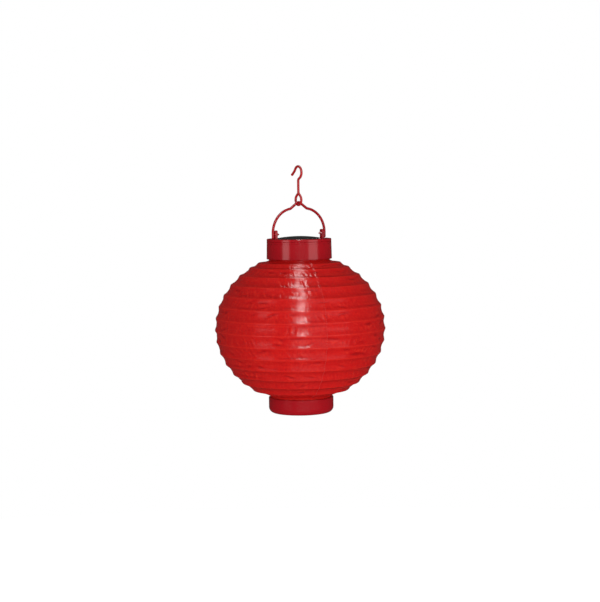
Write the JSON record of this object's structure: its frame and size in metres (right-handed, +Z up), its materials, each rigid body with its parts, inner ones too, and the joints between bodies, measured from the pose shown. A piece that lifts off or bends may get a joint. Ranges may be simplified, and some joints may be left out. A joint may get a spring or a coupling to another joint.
{
  "type": "paper lantern",
  "caption": "Hanging globe lantern: ribbed fabric shell on wire hoops, round solar lid with a hinged bail and wire hook, and a base cup; the shell folds flat.",
  "frame": {"origin": "top of the inside of the hook's crook, on the lantern's axis, where the lantern hangs", "axes": "+Z up along the lantern's axis, X along the bail's pivot line, the hook flat in the YZ plane with its crook open towards +Y"},
  "size_m": [0.22, 0.22, 0.3187],
  "materials": {
    "coated_wire": "gloss",
    "red_plastic": "gloss",
    "inner_plastic": "satin",
    "ring_plastic": "satin",
    "clear_plastic": "polished",
    "frosted_plastic": "satin",
    "seal_rubber": "matte",
    "panel_board": "satin",
    "cell_silicon": "gloss",
    "plated_steel": "polished",
    "cell_sleeve": "gloss",
    "board_laminate": "satin",
    "black_moulding": "satin",
    "led_resin": "polished",
    "black_wire": "satin",
    "red_wire": "satin",
    "nylon": "satin",
    "hoop_steel": "satin"
  },
  "bodies": {
    "hook": {"hook": "coated_wire"},
    "bail": {"bail": "red_plastic"},
    "lid": {"lid_shell": "red_plastic", "lens_cover": "clear_plastic", "lens_gasket": "seal_rubber", "panel_bezel": "inner_plastic", "solar_panel": "panel_board", "solar_cells": "cell_silicon", "lid_housing": "inner_plastic", "lid_screws": "plated_steel", "battery_door": "inner_plastic", "door_screw": "plated_steel", "battery": "cell_sleeve", "battery_contacts": "plated_steel", "battery_spring": "plated_steel", "circuit_board": "board_laminate", "driver_chip": "black_moulding", "inductor": "black_moulding", "led": "led_resin", "led_diffuser": "frosted_plastic", "switch_body": "inner_plastic", "panel_lead_black": "black_wire", "panel_lead_red": "red_wire", "battery_lead_black": "black_wire", "battery_lead_red": "red_wire"},
    "switch_knob": {"switch_knob": "inner_plastic"},
    "shell": {"top_collar": "red_plastic", "top_clamp_ring": "ring_plastic", "fabric_shell": "nylon"},
    "base": {"base_cup": "red_plastic", "base_clamp_ring": "ring_plastic"},
    "hoop_01": {"rib_hoop_01": "hoop_steel"},
    "hoop_02": {"rib_hoop_02": "hoop_steel"},
    "hoop_03": {"rib_hoop_03": "hoop_steel"},
    "hoop_04": {"rib_hoop_04": "hoop_steel"},
    "hoop_05": {"rib_hoop_05": "hoop_steel"},
    "hoop_06": {"rib_hoop_06": "hoop_steel"},
    "hoop_07": {"rib_hoop_07": "hoop_steel"},
    "hoop_08": {"rib_hoop_08": "hoop_steel"},
    "hoop_09": {"rib_hoop_09": "hoop_steel"},
    "hoop_10": {"rib_hoop_10": "hoop_steel"},
    "hoop_11": {"rib_hoop_11": "hoop_steel"},
    "hoop_12": {"rib_hoop_12": "hoop_steel"},
    "hoop_13": {"rib_hoop_13": "hoop_steel"},
    "hoop_14": {"rib_hoop_14": "hoop_steel"}
  },
  "joints": [
    {"name": "hook_swing", "type": "hinge", "parent": "hook", "child": "bail", "pos_m": [0, 0, -0.04442], "axis": [1, 0, 0], "range_deg": [-45, 45]},
    {"name": "bail_swing", "type": "hinge", "parent": "bail", "child": "lid", "pos_m": [0, 0, -0.08472], "axis": [1, 0, 0], "range_deg": [-75, 75]},
    {"name": "switch_slide", "type": "slide", "parent": "lid", "child": "switch_knob", "axis": [1, 0, 0], "range_m": [0, 0.0025]},
    {"name": "lid_release", "type": "slide", "parent": "lid", "child": "shell", "axis": [0, 0, -1], "range_m": [0, 0.05]},
    {"name": "shell_collapse", "type": "slide", "parent": "shell", "child": "base", "axis": [0, 0, 1], "range_m": [0, 0.14], "deforming": ["fabric_shell"]},
    {"name": "hoop_01_lift", "type": "slide", "parent": "shell", "child": "hoop_01", "axis": [0, 0, 1], "range_m": [0, 0.00456]},
    {"name": "hoop_02_lift", "type": "slide", "parent": "shell", "child": "hoop_02", "axis": [0, 0, 1], "range_m": [0, 0.00915]},
    {"name": "hoop_03_lift", "type": "slide", "parent": "shell", "child": "hoop_03", "axis": [0, 0, 1], "range_m": [0, 0.01688]},
    {"name": "hoop_04_lift", "type": "slide", "parent": "shell", "child": "hoop_04", "axis": [0, 0, 1], "range_m": [0, 0.02597]},
    {"name": "hoop_05_lift", "type": "slide", "parent": "shell", "child": "hoop_05", "axis": [0, 0, 1], "range_m": [0, 0.03619]},
    {"name": "hoop_06_lift", "type": "slide", "parent": "shell", "child": "hoop_06", "axis": [0, 0, 1], "range_m": [0, 0.04728]},
    {"name": "hoop_07_lift", "type": "slide", "parent": "shell", "child": "hoop_07", "axis": [0, 0, 1], "range_m": [0, 0.05896]},
    {"name": "hoop_08_lift", "type": "slide", "parent": "shell", "child": "hoop_08", "axis": [0, 0, 1], "range_m": [0, 0.07091]},
    {"name": "hoop_09_lift", "type": "slide", "parent": "shell", "child": "hoop_09", "axis": [0, 0, 1], "range_m": [0, 0.08284]},
    {"name": "hoop_10_lift", "type": "slide", "parent": "shell", "child": "hoop_10", "axis": [0, 0, 1], "range_m": [0, 0.09445]},
    {"name": "hoop_11_lift", "type": "slide", "parent": "shell", "child": "hoop_11", "axis": [0, 0, 1], "range_m": [0, 0.10543]},
    {"name": "hoop_12_lift", "type": "slide", "parent": "shell", "child": "hoop_12", "axis": [0, 0, 1], "range_m": [0, 0.1155]},
    {"name": "hoop_13_lift", "type": "slide", "parent": "shell", "child": "hoop_13", "axis": [0, 0, 1], "range_m": [0, 0.12439]},
    {"name": "hoop_14_lift", "type": "slide", "parent": "shell", "child": "hoop_14", "axis": [0, 0, 1], "range_m": [0, 0.13186]}
  ],
  "couplings": [
    {"joint": "hoop_01_lift", "follows": "shell_collapse", "ratio": 0.03254},
    {"joint": "hoop_02_lift", "follows": "shell_collapse", "ratio": 0.065357},
    {"joint": "hoop_03_lift", "follows": "shell_collapse", "ratio": 0.12054},
    {"joint": "hoop_04_lift", "follows": "shell_collapse", "ratio": 0.18546},
    {"joint": "hoop_05_lift", "follows": "shell_collapse", "ratio": 0.25849},
    {"joint": "hoop_06_lift", "follows": "shell_collapse", "ratio": 0.33772},
    {"joint": "hoop_07_lift", "follows": "shell_collapse", "ratio": 0.4211},
    {"joint": "hoop_08_lift", "follows": "shell_collapse", "ratio": 0.5065},
    {"joint": "hoop_09_lift", "follows": "shell_collapse", "ratio": 0.59172},
    {"joint": "hoop_10_lift", "follows": "shell_collapse", "ratio": 0.67461},
    {"joint": "hoop_11_lift", "follows": "shell_collapse", "ratio": 0.75303},
    {"joint": "hoop_12_lift", "follows": "shell_collapse", "ratio": 0.82495},
    {"joint": "hoop_13_lift", "follows": "shell_collapse", "ratio": 0.88849},
    {"joint": "hoop_14_lift", "follows": "shell_collapse", "ratio": 0.94182}
  ]
}
